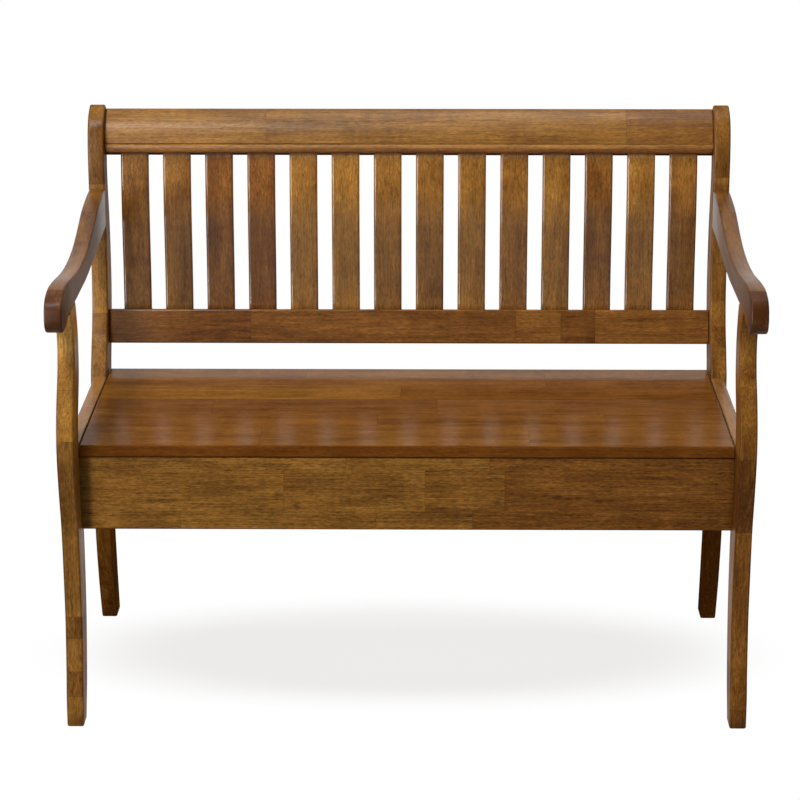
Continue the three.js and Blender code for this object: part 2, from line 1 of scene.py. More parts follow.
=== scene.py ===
import json
from math import cos, pi, radians, sin

import bmesh
import bpy
from mathutils import Matrix, Vector

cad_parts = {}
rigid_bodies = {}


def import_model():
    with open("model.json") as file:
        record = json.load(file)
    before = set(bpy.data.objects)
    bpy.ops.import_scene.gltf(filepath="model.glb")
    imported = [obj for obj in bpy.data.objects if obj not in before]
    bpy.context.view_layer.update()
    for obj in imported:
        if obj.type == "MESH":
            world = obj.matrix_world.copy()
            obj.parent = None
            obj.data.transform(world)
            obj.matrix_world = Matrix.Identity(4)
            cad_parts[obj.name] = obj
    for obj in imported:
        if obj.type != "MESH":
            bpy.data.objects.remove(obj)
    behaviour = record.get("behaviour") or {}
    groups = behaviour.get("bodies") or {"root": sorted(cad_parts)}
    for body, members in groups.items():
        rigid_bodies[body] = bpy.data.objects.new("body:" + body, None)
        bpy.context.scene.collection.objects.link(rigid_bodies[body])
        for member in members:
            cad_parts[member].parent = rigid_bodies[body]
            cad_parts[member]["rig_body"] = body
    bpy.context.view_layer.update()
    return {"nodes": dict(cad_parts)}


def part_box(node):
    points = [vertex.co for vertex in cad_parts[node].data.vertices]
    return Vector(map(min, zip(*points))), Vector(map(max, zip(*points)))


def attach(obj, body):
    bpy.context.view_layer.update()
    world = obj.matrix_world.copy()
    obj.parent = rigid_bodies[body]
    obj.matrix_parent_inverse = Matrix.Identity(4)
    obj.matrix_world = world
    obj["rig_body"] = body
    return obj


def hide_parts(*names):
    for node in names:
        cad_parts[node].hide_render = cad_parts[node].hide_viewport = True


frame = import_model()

nodes = frame["nodes"]
xAxis, yAxis, zAxis = 0, 1, 2
print("frame loaded:", len(nodes), "pieces")


# Small helpers for objects and node trees

def addObject(name, data):
    thing = bpy.data.objects.new(name, data)
    bpy.context.scene.collection.objects.link(thing)
    return thing


def stain(red, green, blue):  # a colour as a paint chart gives it, 0 to 255, made linear
    def linear(part):
        part = part / 255
        return part / 12.92 if part <= 0.04045 else ((part + 0.055) / 1.055) ** 2.4
    return (linear(red), linear(green), linear(blue), 1.0)


def feed(tree, value, socket):  # a plain value is set on the socket, an output is linked to it
    if isinstance(value, bpy.types.NodeSocket):
        tree.links.new(value, socket)
    else:
        socket.default_value = value


def addNode(tree, kind, inputs=None, **settings):  # settings come first, because sockets depend on them
    node = tree.nodes.new(kind)
    for name, value in settings.items():
        setattr(node, name, value)
    for label, value in (inputs or {}).items():
        feed(tree, value, node.inputs[label])
    return node


def maths(tree, operation, first, second=0.0, clamp=False):
    inputs = {0: first, 1: second}
    return addNode(tree, "ShaderNodeMath", inputs, operation=operation, use_clamp=clamp).outputs[0]


def times(tree, first, second):
    return maths(tree, "MULTIPLY", first, second)


def weighted(tree, *pairs, clamp=False):  # the sum of some values, each times its weight
    parts = [times(tree, value, weight) for value, weight in pairs]
    total = parts[0]
    for part in parts[1:]:
        total = maths(tree, "ADD", total, part, clamp and part is parts[-1])
    return total


def aroundHalf(tree, value, reach, middle, clamp=False):  # 0.5 gives the middle, the rest swings by the reach
    away = times(tree, maths(tree, "SUBTRACT", value, 0.5), reach)
    return maths(tree, "ADD", away, middle, clamp)


def vectorMaths(tree, operation, first, second=(0, 0, 0), output="Vector"):
    return addNode(tree, "ShaderNodeVectorMath", {0: first, 1: second}, operation=operation).outputs[output]


def partOf(tree, vector, axis):
    return addNode(tree, "ShaderNodeSeparateXYZ", {0: vector}).outputs[axis]


def spread(tree, value, low, high, outLow=0.0, outHigh=1.0):  # a smooth step from low to high
    inputs = {"Value": value, "From Min": low, "From Max": high, "To Min": outLow, "To Max": outHigh}
    return addNode(tree, "ShaderNodeMapRange", inputs, interpolation_type="SMOOTHSTEP").outputs["Result"]


def noise(tree, place, along, across, detail, roughness):  # along and across: how fine it is, per metre
    spot = vectorMaths(tree, "MULTIPLY", place, (along, across, across))
    inputs = {"Vector": spot, "Scale": 1.0, "Detail": detail, "Roughness": roughness}
    return addNode(tree, "ShaderNodeTexNoise", inputs).outputs["Fac"]


def blendColour(tree, amount, first, second, mode="MIX"):
    inputs = {0: amount, 6: first, 7: second}
    return addNode(tree, "ShaderNodeMix", inputs, data_type="RGBA", blend_type=mode).outputs[2]


def newGroup(kind, name, inputs, outputs):  # an input is given by its kind of socket, or by its first number
    tree = bpy.data.node_groups.new(name, kind + "NodeTree")
    for label, start in inputs.items():
        socketKind = start if isinstance(start, str) else "Float"
        socket = tree.interface.new_socket(label, in_out="INPUT", socket_type="NodeSocket" + socketKind)
        if socketKind == "Float":
            socket.default_value = start
    for label in outputs:
        socketKind = "Float" if kind == "Shader" else "Geometry"
        tree.interface.new_socket(label, in_out="OUTPUT", socket_type="NodeSocket" + socketKind)
    return tree, addNode(tree, "NodeGroupInput").outputs, addNode(tree, "NodeGroupOutput").inputs


def useGroup(tree, group, **values):
    return addNode(tree, "ShaderNodeGroup", values, node_tree=group).outputs


def attribute(tree, name):
    return addNode(tree, "ShaderNodeAttribute", attribute_type="GEOMETRY", attribute_name=name).outputs["Fac"]


# Shader effects that several finishes share

grainSizes = {
    "seedShift": (1.73, 0.37, 0.51),  # how far apart the staves lie in the noise
    "sway": (3, 9, 1.0, 0.55),  # grain lines wander a little
    "swayBy": (0.0, 0.014, 0.010),
    "layers": {  # how fine along the grain and across it, detail, roughness
        "broad": (1.8, 46, 3.0, 0.6),
        "fine": (22, 200, 2.0, 0.6),
        "dots": (110, 470, 2.0, 0.65),  # short light and dark dashes along the grain
        "hairs": (9, 430, 1.0, 0.5),
        "cloudy": (7, 24, 1.5, 0.5),
        "ripple": (46, 12, 1.0, 0.5),  # light play across the grain
        "poreFields": (7, 34, 1.0, 0.55),
        "shortPores": (120, 760, 1.0, 0.5),
        "longPores": (40, 640, 0.0, 0.5),
        "bow": (1.1, 7, 1.0, 0.5),  # growth rings cut at a slant
    },
    "blends": {  # how much of which layers
        "streaks": {"broad": 0.5, "fine": 0.5},
        "ticks": {"dots": 0.8, "hairs": 0.5},
        "mottle": {"cloudy": 0.72, "ripple": 0.28},
    },
    "contrast": 2.2,
    "tickLift": 0.15,
    "mottleEdges": (0.36, 0.64),
    "fieldEdges": (0.38, 0.62),
    "shortEdges": (0.55, 0.68),
    "longEdges": (0.62, 0.76),
    "fewestPores": 0.25,
    "ringTurns": 70.0,
}


def makeGrainGroup():
    tree, given, out = newGroup(
        "Shader", "hardwoodGrain", {"Place": "Vector", "Seed": 0.0, "Figure": 1.0, "Flecks": 1.0},
        ("Streaks", "Ticks", "Mottle", "Pores", "Rings", "Height"),
    )
    shift = vectorMaths(tree, "MULTIPLY", given["Seed"], grainSizes["seedShift"])
    place = vectorMaths(tree, "ADD", given["Place"], shift)
    sway = maths(tree, "SUBTRACT", noise(tree, place, *grainSizes["sway"]), 0.5)
    place = vectorMaths(tree, "ADD", place, vectorMaths(tree, "MULTIPLY", sway, grainSizes["swayBy"]))
    layer = {name: noise(tree, place, *sizes) for name, sizes in grainSizes["layers"].items()}
    blend = {}
    for name, shares in grainSizes["blends"].items():
        blend[name] = weighted(tree, *[(layer[part], share) for part, share in shares.items()])

    centred = times(tree, maths(tree, "SUBTRACT", blend["streaks"], 0.5), given["Figure"])
    feed(tree, maths(tree, "ADD", times(tree, centred, grainSizes["contrast"]), 0.5, True), out["Streaks"])
    feed(tree, maths(tree, "SUBTRACT", blend["ticks"], grainSizes["tickLift"]), out["Ticks"])
    feed(tree, spread(tree, blend["mottle"], *grainSizes["mottleEdges"]), out["Mottle"])

    fields = spread(tree, layer["poreFields"], *grainSizes["fieldEdges"])
    short = spread(tree, layer["shortPores"], *grainSizes["shortEdges"])
    long = spread(tree, layer["longPores"], *grainSizes["longEdges"])
    crowd = spread(tree, fields, 0.0, 1.0, grainSizes["fewestPores"], 1.0)
    flecks = times(tree, maths(tree, "MAXIMUM", short, long), crowd)
    pores = maths(tree, "MULTIPLY", flecks, given["Flecks"], True)
    feed(tree, pores, out["Pores"])

    rings = maths(tree, "SINE", times(tree, layer["bow"], grainSizes["ringTurns"]))
    feed(tree, maths(tree, "ADD", times(tree, rings, 0.5), 0.5), out["Rings"])
    feed(tree, maths(tree, "SUBTRACT", times(tree, layer["fine"], 0.5), pores), out["Height"])
    return tree


markSizes = {"raggedness": (150, 150, 2.0, 0.6), "raggedBy": 0.9, "edges": (1.35, 0.45)}


def makeMarkGroup():  # one dark knot or streak with ragged ends
    inputs = {"Place": "Vector", "Centre": "Vector", "Size": "Vector", "Strength": 1.0}
    tree, given, out = newGroup("Shader", "darkMark", inputs, ["Mask"])
    away = vectorMaths(tree, "SUBTRACT", given["Place"], given["Centre"])
    length = vectorMaths(tree, "LENGTH", vectorMaths(tree, "DIVIDE", away, given["Size"]), output="Value")
    ragged = times(tree, noise(tree, given["Place"], *markSizes["raggedness"]), markSizes["raggedBy"])
    mask = spread(tree, maths(tree, "ADD", length, ragged), *markSizes["edges"])
    feed(tree, times(tree, mask, given["Strength"]), out["Mask"])
    return tree


combSizes = {"reach": 0.009, "pitch": 0.0038, "halfHeight": 0.016, "line": (0.0032, 0.0006), "endFade": 0.0006}


def makeCombGroup():  # the zigzag line where two staves are finger-jointed end to end
    inputs = {"Place": "Vector", "Centre": "Vector", "Across": "Vector", "Reach": combSizes["reach"],
              "Pitch": combSizes["pitch"], "Half Height": combSizes["halfHeight"]}
    tree, given, out = newGroup("Shader", "fingerJoint", inputs, ["Mask"])
    away = vectorMaths(tree, "SUBTRACT", given["Place"], given["Centre"])
    height = vectorMaths(tree, "DOT_PRODUCT", away, given["Across"], "Value")
    tooth = maths(tree, "PINGPONG", height, times(tree, given["Pitch"], 0.5))
    share = maths(tree, "SUBTRACT", maths(tree, "DIVIDE", tooth, times(tree, given["Pitch"], 0.25)), 1.0)
    offset = maths(tree, "SUBTRACT", partOf(tree, away, "X"), times(tree, share, given["Reach"]))
    line = spread(tree, maths(tree, "ABSOLUTE", offset), *combSizes["line"])
    rim = maths(tree, "SUBTRACT", given["Half Height"], combSizes["endFade"])
    inside = spread(tree, maths(tree, "ABSOLUTE", height), given["Half Height"], rim)
    feed(tree, times(tree, line, inside), out["Mask"])
    return tree


hazeSizes = {"cloud": (11, 11, 3.0, 0.6), "reach": 0.16}
grainDepth = 0.0004


def makeHazeGroup():  # faint handling marks that only break up the gloss
    tree, given, out = newGroup("Shader", "lacquerHaze", {"Place": "Vector", "Gloss": 0.4}, ["Roughness"])
    cloud = noise(tree, given["Place"], *hazeSizes["cloud"])
    feed(tree, aroundHalf(tree, cloud, hazeSizes["reach"], given["Gloss"], True), out["Roughness"])
    return tree


grainGroup = makeGrainGroup()
markGroup = makeMarkGroup()
combGroup = makeCombGroup()
hazeGroup = makeHazeGroup()
print("shader groups built")


def newFinish(name):
    material = bpy.data.materials.new(name)
    material.use_nodes = True
    tree = material.node_tree
    place = addNode(tree, "ShaderNodeTexCoord").outputs["Object"]
    return material, tree, tree.nodes["Principled BSDF"], place


def layLacquer(tree, shader, place, gloss, relief, height):  # relief: how strongly the grain's height shows
    hazy = useGroup(tree, hazeGroup, Place=place, Gloss=gloss)
    feed(tree, hazy["Roughness"], shader.inputs["Roughness"])
    bump = addNode(tree, "ShaderNodeBump", {"Strength": relief, "Distance": grainDepth, "Height": height})
    feed(tree, bump.outputs[0], shader.inputs["Normal"])


# Wood finishes

finishes = {
    "light": stain(176, 124, 52),
    "mid": stain(150, 100, 42),
    "dark": stain(92, 53, 14),
    "deep": stain(70, 36, 9),
    "red": stain(140, 76, 30),
    "pore": stain(40, 22, 8),
}
grainTurns = {  # how a board's own length is turned onto the grain's X
    "x": (0, 0, 0),
    "y": (0, 0, -pi / 2),
    "z": (0, pi / 2, 0),
}
woodLook = {  # a finish has these values where it gives none of its own
    "figure": 1.0,
    "flecks": 0.5,
    "gloss": 0.42,
    "shine": 0.05,
    "coat": 0.06,
    "coatRoughness": 0.2,
    "mottling": 0.26,
    "ticking": 2.0,
    "figuring": 0.88,  # streaks and mottle together
    "rings": 0.12,
    "toneReach": 0.5,
    "redness": 0.8,
    "pores": 0.45,
    "edges": 0.35,
    "combs": 0.4,
    "relief": 0.18,
}


def makeWood(name, grain, light="light", dark="dark", marks=(), joint=None, shade=None, **changes):
    look = {**woodLook, **changes}
    light, dark, pore, red = (finishes[colour] for colour in (light, dark, "pore", "red"))
    material, tree, shader, place = newFinish(name)
    turned = addNode(tree, "ShaderNodeMapping", {"Vector": place, "Rotation": grainTurns[grain]})
    figure = useGroup(
        tree, grainGroup,
        Place=turned.outputs[0], Seed=attribute(tree, "staveSeed"), Figure=look["figure"], Flecks=look["flecks"],
    )
    amount = weighted(
        tree,
        (figure["Streaks"], look["figuring"] - look["mottling"]), (figure["Mottle"], look["mottling"]),
        (figure["Rings"], look["rings"]), (attribute(tree, "staveTone"), look["toneReach"]), clamp=True,
    )
    colour = blendColour(tree, amount, dark, light)
    rosy = times(tree, spread(tree, attribute(tree, "staveWarmth"), 0.0, 1.0), look["redness"])
    warm = blendColour(tree, amount, blendColour(tree, 0.5, dark, red), red)
    colour = blendColour(tree, rosy, colour, warm)
    gain = aroundHalf(tree, figure["Ticks"], look["ticking"], 1.0)
    colour = blendColour(tree, 1.0, colour, gain, "MULTIPLY")
    colour = blendColour(tree, times(tree, figure["Pores"], look["pores"]), colour, pore)
    rub = times(tree, attribute(tree, "roundover"), look["edges"])  # rounded edges hold more stain
    colour = blendColour(tree, rub, colour, dark)
    colour = blendColour(tree, attribute(tree, "glueLine"), colour, pore)
    for mark in marks:
        colour = blendColour(tree, useGroup(tree, markGroup, Place=place, **mark)["Mask"], colour, pore)
    if joint:
        comb = useGroup(tree, combGroup, Place=place, **joint)["Mask"]
        colour = blendColour(tree, times(tree, comb, look["combs"]), colour, pore)
    # painted light and shade, multiplied into the colour
    if shade:
        colour = blendColour(tree, 1.0, colour, shade(tree, place), "MULTIPLY")
    feed(tree, colour, shader.inputs["Base Color"])

    coat = look["coat"]
    feed(tree, coat(tree, place) if callable(coat) else coat, shader.inputs["Coat Weight"])
    shader.inputs["Coat Roughness"].default_value = look["coatRoughness"]
    shader.inputs["Specular IOR Level"].default_value = look["shine"]
    layLacquer(tree, shader, place, look["gloss"], look["relief"], figure["Height"])
    return material


def marksOn(axis, level, reach, spots):  # spots: place along and across the face, size along and across, strength
    marks = []
    for along, across, length, width, strength in spots:
        centre, size = [along, across], [length, width]
        centre.insert(axis, level)
        size.insert(axis, reach)
        marks.append({"Centre": centre, "Size": size, "Strength": strength})
    return marks


def changeAlong(steps):  # each step: along which axis, from where, to where, value before it and after it
    def change(tree, place):
        value = 1.0
        for axis, *step in steps:
            value = times(tree, value, spread(tree, partOf(tree, place, axis), *step))
        return value
    return change


# painted light and shade on the crest: darker towards its top and lighter on its lower face against the lamps'
# shading, lighter in the quirk against the shade in its groove, and darker over the left middle where the key
# lamp's highlight falls
crestPaintedLight = [
    ("Z", 0.876, 0.886, 1, 0.9), ("Z", 0.886, 0.916, 1, 0.8),
    ("Z", 0.8652, 0.8658, 1, 1.5), ("Z", 0.8684, 0.869, 1, 0.64), ("Z", 0.873, 0.879, 1, 1.04),
    ("X", -0.42, -0.26, 1.08, 0.9), ("X", -0.16, -0.06, 1, 1.12), ("X", 0.2, 0.34, 1, 1.06),
]
crestCoat = {"bead": [("Z", 0.8602, 0.8608, 0, 1), ("Z", 0.8642, 0.8636, 0, 1)], "weights": (0.26, 0.8)}


def crestGloss(tree, place):  # the bead catches a thin pale line
    return spread(tree, changeAlong(crestCoat["bead"])(tree, place), 0.0, 1.0, *crestCoat["weights"])


# lighter on the upper slats and darker lower down, with a painted shadow of the crest across their tops
slatShadowAndTone = [("Z", 0.58, 0.62, 1.15, 1), ("Z", 0.7, 0.81, 0.82, 1.22), ("Z", 0.815, 0.85, 1, 0.9)]
# painted shade on the back legs under the seat
postPaintedShade = [("Z", 0.3, 0.4, 0.74, 1)]
postCoat = [("Z", 0.36, 0.44, 0, 0.2)]  # the feet are dull
armCoat = [("Y", -0.27, -0.2, 0.1, 0.36)]  # the nose is duller than the sloping top

railMarks = marksOn(yAxis, 0.235, 0.03, [(0.0574, 0.5437, 0.011, 0.006, 0.7)])
railJoint = {"Centre": (0.33, 0.235, 0.5415), "Across": (0, 0, 1), "Half Height": 0.03}

# a painted shadow of the left leg across the apron's left end, and darker towards its right end
apronPaintedShadow = [("X", -0.520, -0.510, 0.5, 1.14), ("X", -0.505, -0.47, 1, 0.88), ("X", 0.52, 0.531, 1, 0.78)]
apronJoint = {"Centre": (0.108, -0.202, 0.3405), "Across": (0, 0, 1), "Half Height": 0.0152}
apronMarks = marksOn(yAxis, -0.202, 0.02, [
    (-0.2112, 0.3837, 0.010, 0.011, 0.4),
    (-0.1805, 0.3647, 0.016, 0.007, 0.6),
    (-0.234, 0.364, 0.012, 0.008, 0.35),
    (-0.157, 0.3886, 0.012, 0.006, 0.35),
    (-0.012, 0.3996, 0.018, 0.0022, 0.85),
    (-0.03, 0.3816, 0.06, 0.004, 0.3),
    (0.1473, 0.3709, 0.017, 0.008, 0.6),
    (0.2481, 0.3816, 0.014, 0.005, 0.5),
    (0.3117, 0.3749, 0.014, 0.008, 0.45),
    (-0.42, 0.4405, 0.06, 0.003, 0.35),
])

legMarks = marksOn(yAxis, -0.2, 0.06, [(-0.563, 0.127, 0.004, 0.007, 0.6), (-0.556, 0.141, 0.003, 0.004, 0.5)])
# painted light on the front legs: shade on the bellies, a pale sheen on the left leg's top
legPaintedLight = {
    "belly": [("Z", 0.33, 0.36, 1, 0.82), ("Z", 0.44, 0.475, 1, 1.22)],
    "worn": [("Z", 0.605, 0.64, 0, 0.6), ("X", -0.1, 0.1, 1, 0)],
    "tint": (0.95, 1.35, 2.6),
}


def paintLegLight(tree, place):  # painted shade on both legs' bellies, and a painted pale, greyish sheen on the left leg's top under its arm
    gain, worn = (changeAlong(legPaintedLight[part])(tree, place) for part in ("belly", "worn"))
    paler = vectorMaths(tree, "ADD", vectorMaths(tree, "MULTIPLY", worn, legPaintedLight["tint"]), (1.0, 1.0, 1.0))
    return vectorMaths(tree, "MULTIPLY", paler, gain)


lidMarks = marksOn(zAxis, 0.468, 0.02, [
    (0.2, 0.108, 0.05, 0.003, 0.6),
    (-0.148, -0.135, 0.02, 0.004, 0.4),
    (-0.145, -0.1, 0.013, 0.003, 0.35),
    (-0.2, 0.02, 0.006, 0.010, 0.3),
])
lidCoat = {  # from where, to where, and how much coat at each
    "rear": (0.16, 0.19, 0.07, 0.39),
    "front": (-0.09, 0.052, 0.33, 0.42),
    "stave": (0.0515, 0.0535, 1, 0),
    "edge": (-0.2012, -0.1992, 0, 1),
}


def lidGloss(tree, place):  # the seat's lacquer has kept its shine at the back and the front
    depth = partOf(tree, place, "Y")
    coat = {name: spread(tree, depth, *steps) for name, steps in lidCoat.items()}
    top = maths(tree, "MAXIMUM", coat["rear"], times(tree, coat["front"], coat["stave"]))
    return times(tree, top, coat["edge"])


woods = {
    "crest": makeWood("crestWood", "x", coat=crestGloss, coatRoughness=0.36, shade=changeAlong(crestPaintedLight)),
    "post": makeWood("postWood", "z", coat=changeAlong(postCoat), coatRoughness=0.3, shine=0.0,
                     shade=changeAlong(postPaintedShade)),
    "leg": makeWood("legWood", "z", marks=legMarks, shade=paintLegLight, shine=0.015),
    "arm": makeWood("armWood", "y", "mid", "deep", coat=changeAlong(armCoat), coatRoughness=0.3, ticking=1.0),
    "sideRail": makeWood("sideRailWood", "y", coat=0.5, coatRoughness=0.35),
    "slat": makeWood("slatWood", "z", coat=0.42, coatRoughness=0.16, mottling=0.3, ticking=2.1, figure=0.7,
                     shade=changeAlong(slatShadowAndTone)),
    "rail": makeWood("lowerRailWood", "x", "mid", "deep", marks=railMarks, joint=railJoint, coat=0.14),
    "apron": makeWood("apronWood", "x", marks=apronMarks, joint=apronJoint, mottling=0.15, ticking=2.6, figure=0.7,
                      shade=changeAlong(apronPaintedShadow), shine=0.02),
    "lid": makeWood("lidWood", "x", "mid", "dark", marks=lidMarks, shine=0.0, coat=lidGloss, coatRoughness=0.21,
                    gloss=0.45, ticking=1.3),
    # dark, dull wood for the faces turned down on the crest, lower rail and front apron, painted as their shade
    "under": makeWood("shadedWood", "x", "deep", "pore", shine=0.0, coat=0.0, gloss=0.8),
    "inner": makeWood("innerWood", "x", "mid", "deep", coat=0.05, gloss=0.55),
}


# Raw pine for the storage box, metal for the fittings

pineLook = {
    "light": stain(205, 172, 124),
    "dark": stain(150, 112, 68),
    "seed": 4.0,
    "figure": 1.2,
    "flecks": 0.25,
    "streaks": 0.6,
    "rings": 0.4,
    "gloss": 0.68,
    "relief": 0.3,
}


def makePine():
    material, tree, shader, place = newFinish("rawPine")
    figure = useGroup(tree, grainGroup, Place=place, Seed=pineLook["seed"], Figure=pineLook["figure"],
                      Flecks=pineLook["flecks"])
    parts = (figure["Streaks"], pineLook["streaks"]), (figure["Rings"], pineLook["rings"])
    amount = weighted(tree, *parts, clamp=True)
    colour = blendColour(tree, amount, pineLook["dark"], pineLook["light"])
    feed(tree, colour, shader.inputs["Base Color"])
    layLacquer(tree, shader, place, pineLook["gloss"], pineLook["relief"], figure["Height"])
    return material


metalLook = {
    "tarnish": (120, 120, 3.0, 0.6),  # as the grain's layers
    "tarnishEdges": (0.35, 0.65),
    "drawn": (60, 2400, 1.0, 0.5),  # fine lines along X
    "drawnBy": 0.2,
    "gloss": 0.22,
}


def makeMetal(name, bright, dull):
    material, tree, shader, place = newFinish(name)
    tarnish = spread(tree, noise(tree, place, *metalLook["tarnish"]), *metalLook["tarnishEdges"])
    feed(tree, blendColour(tree, tarnish, dull, bright), shader.inputs["Base Color"])
    drawn = times(tree, noise(tree, place, *metalLook["drawn"]), metalLook["drawnBy"])
    feed(tree, maths(tree, "ADD", drawn, metalLook["gloss"]), shader.inputs["Roughness"])
    shader.inputs["Metallic"].default_value = 1.0
    return material


pine = makePine()
metals = {
    "brass": makeMetal("agedBrass", stain(196, 160, 92), stain(132, 100, 52)),
    "zinc_steel": makeMetal("zincSteel", stain(186, 186, 180), stain(128, 128, 122)),
}
print("finishes built")


# Boards: a copy of each solid, merged, cut along its stave lines and shaded smooth

far = 9.0  # past every board's end
jointShadeFrom = 0.5305  # beyond this the rails meet the side frames, and their ends are painted dark as the shade in the joint
sliver = 1e-7  # no edge is shorter than this
staveSizes = {
    "weld": 1e-6,
    "glueHalf": 0.0004,
    "glueDarkness": 0.45,
    "seeds": (1.0, 3.7, 1.3),  # the first stave's, and the steps to the next row and the next stave
    "roundoverLean": (0.25, 0.97),
    "underLean": -0.8,
}


def mergedCopy(nodeName, pieceName):
    mesh = nodes[nodeName].data.copy()
    mesh.name = pieceName
    mesh.materials.clear()
    board = bmesh.new()
    board.from_mesh(mesh)
    bmesh.ops.remove_doubles(board, verts=board.verts, dist=staveSizes["weld"])
    bmesh.ops.dissolve_degenerate(board, edges=board.edges, dist=sliver)
    return mesh, board


def splitBoard(board, faces, axis, place):
    faces = list(faces)
    verts = list({vert for face in faces for vert in face.verts})
    edges = list({edge for face in faces for edge in face.edges})
    point, normal = Vector(), Vector()
    point[axis] = place
    normal[axis] = 1
    bmesh.ops.bisect_plane(board, geom=verts + edges + faces, dist=sliver, plane_co=point, plane_no=normal)


def facesBetween(board, axis, low, high):
    return [face for face in board.faces if low < face.calc_center_median()[axis] < high]


def layStaves(board, rowAxis, columnAxis, rows):
    # rows run from low to high: (upper limit, [(upper limit along the board, tone, warmth), ...])
    names = ("staveTone", "staveWarmth", "staveSeed", "glueLine")
    tones, warmths, seeds, glue = [board.faces.layers.float.new(name) for name in names]
    glueHalf = staveSizes["glueHalf"]
    firstSeed, rowSeed, columnSeed = staveSizes["seeds"]
    for limit, _ in rows[:-1]:
        splitBoard(board, board.faces, rowAxis, limit)
    low = -far
    for rowIndex, (limit, columns) in enumerate(rows):
        for end, _, _ in columns[:-1]:
            for cut in (end - glueHalf, end + glueHalf):
                splitBoard(board, facesBetween(board, rowAxis, low, limit), columnAxis, cut)
        start = -far
        for columnIndex, (end, tone, warmth) in enumerate(columns):
            for face in facesBetween(board, rowAxis, low, limit):
                middle = face.calc_center_median()[columnAxis]
                if not start < middle < end:
                    continue
                face[tones] = tone
                face[warmths] = warmth
                face[seeds] = firstSeed + rowIndex * rowSeed + columnIndex * columnSeed
                if end < far and middle > end - glueHalf or start > -far and middle < start + glueHalf:
                    face[glue] = staveSizes["glueDarkness"]
            start = end
        low = limit


def markRoundovers(board, squared):  # on a squared board they lean away from every axis, on a sawn one from X
    layer = board.faces.layers.float.new("roundover")
    least, most = staveSizes["roundoverLean"]
    for face in board.faces:
        lean = max(abs(part) for part in face.normal) if squared else abs(face.normal.x)
        face[layer] = 1.0 if least < lean < most else 0.0


def settle(piece, names, sharpAngle=35, even=False):  # the piece stands for the named nodes
    piece.data.shade_smooth()
    piece.data.set_sharp_from_angle(angle=radians(sharpAngle))
    if even:  # flat faces stay flat and only the rounded edges turn the light
        shading = piece.modifiers.new("evenShading", "WEIGHTED_NORMAL")
        shading.keep_sharp = True
        shading.weight = 100
    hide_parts(*names)
    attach(piece, nodes[names[0]]["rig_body"])


def dressBoard(nodeName, wood, slotName, rows, rowAxis=zAxis, columnAxis=xAxis, sharpAngle=50, squared=False,
               under=None):
    first, *rest = nodeName.split("_")
    pieceName = first + "".join(word.capitalize() for word in rest)
    mesh, board = mergedCopy(nodeName, pieceName)
    layStaves(board, rowAxis, columnAxis, rows)
    markRoundovers(board, squared)
    # faces turned down take the under finish; on the crest, lower rail and front apron it is dark wood painted as
    # shade
    if under:
        for face in board.faces:
            face.material_index = 1 if face.normal.z < staveSizes["underLean"] else 0
    board.to_mesh(mesh)
    board.free()
    for name in filter(None, (wood, under)):
        mesh.materials.append(woods[name])
    settle(addObject(pieceName, mesh), [nodeName], sharpAngle, even=True)


crestLook = {
    "wood": "crest",
    "under": "under",
    "slotName": "golden_wood",
    "sharpAngle": 40,
    "rows": [
        (0.8595, [(-jointShadeFrom, -1.2, 0.0), (-0.02, 0.0, 0.5), (jointShadeFrom, -0.12, 0.6), (far, -1.2, 0.0)]),
        (0.8643, [(-jointShadeFrom, -1.2, 0.0), (-0.25, 0.05, 0.2), (0.38, 0.1, 0.1), (jointShadeFrom, 0.0, 0.3),
                  (far, -1.2, 0.0)]),
        # the quirk's row is painted lighter against the shade in its groove
        (0.8685, [(-jointShadeFrom, -1.2, 0.0), (far, 0.4, 0.0)]),
        (far, [(-jointShadeFrom, -1.2, 0.0), (-0.25, 0.06, 0.1), (0.38, 0.03, 0.05), (jointShadeFrom, -0.1, 0.3),
               (far, -1.2, 0.0)]),
    ],
}
dressBoard("crest_rail", **crestLook)

railLook = {
    "wood": "rail",
    "under": "under",
    "slotName": "dark_wood",
    "rows": [
        (far, [(-jointShadeFrom, -0.8, 0.0), (-0.28, -0.15, 0.3), (0.19, 0.0, 0.25), (0.27, 0.25, 0.2), (0.33, 0.0, 0.3),
               (jointShadeFrom, 0.3, 0.25), (far, -1.2, 0.0)]),
    ],
}
dressBoard("lower_back_rail", **railLook)

apronLook = {
    "wood": "apron",
    "under": "under",
    "slotName": "golden_wood",
    "squared": True,
    "rows": [
        (0.3258, [(far, -0.7, 0.7)]),
        (0.3561, [(-0.37, -0.04, 0.0), (-0.05, 0.0, 0.0), (0.108, -0.15, 0.0), (far, -0.58, 0.35)]),
        (0.4268, [(-0.2, -0.02, 0.05), (0.03, -0.12, 0.12), (0.16, -0.3, 0.2), (far, -0.52, 0.4)]),
        (far, [(-0.0985, -0.04, 0.08), (0.1356, -0.02, 0.0), (far, -0.5, 0.42)]),
    ],
}
dressBoard("front_apron", **apronLook)

lidLook = {
    "wood": "lid",
    "under": "inner",
    "slotName": "reddish_wood",
    "rowAxis": yAxis,
    "columnAxis": xAxis,
    "squared": True,
    "rows": [
        (-0.1992, [(0.1, -0.7, 0.6), (far, -0.7, 0.5)]),
        (-0.1, [(-0.24, -0.14, 0.25), (0.2, -0.12, 0.2), (far, -0.1, 0.25)]),
        (-0.03, [(-0.05, -0.3, 0.3), (0.33, -0.28, 0.25), (far, -0.3, 0.3)]),
        (0.051, [(-0.33, -0.44, 0.3), (0.05, -0.48, 0.3), (far, -0.4, 0.32)]),
        (0.0526, [(-0.012, -0.9, 0.2), (far, -0.3, 0.4)]),
        (0.1355, [(-0.012, 0.18, 0.0), (far, -0.4, 0.35)]),
        (0.1746, [(-0.2, -0.22, 0.3), (0.24, -0.22, 0.25), (far, -0.26, 0.3)]),
        (far, [(-0.18, -0.16, 0.1), (0.24, -0.16, 0.05), (far, -0.2, 0.1)]),
    ],
}
dressBoard("seat_lid", **lidLook)

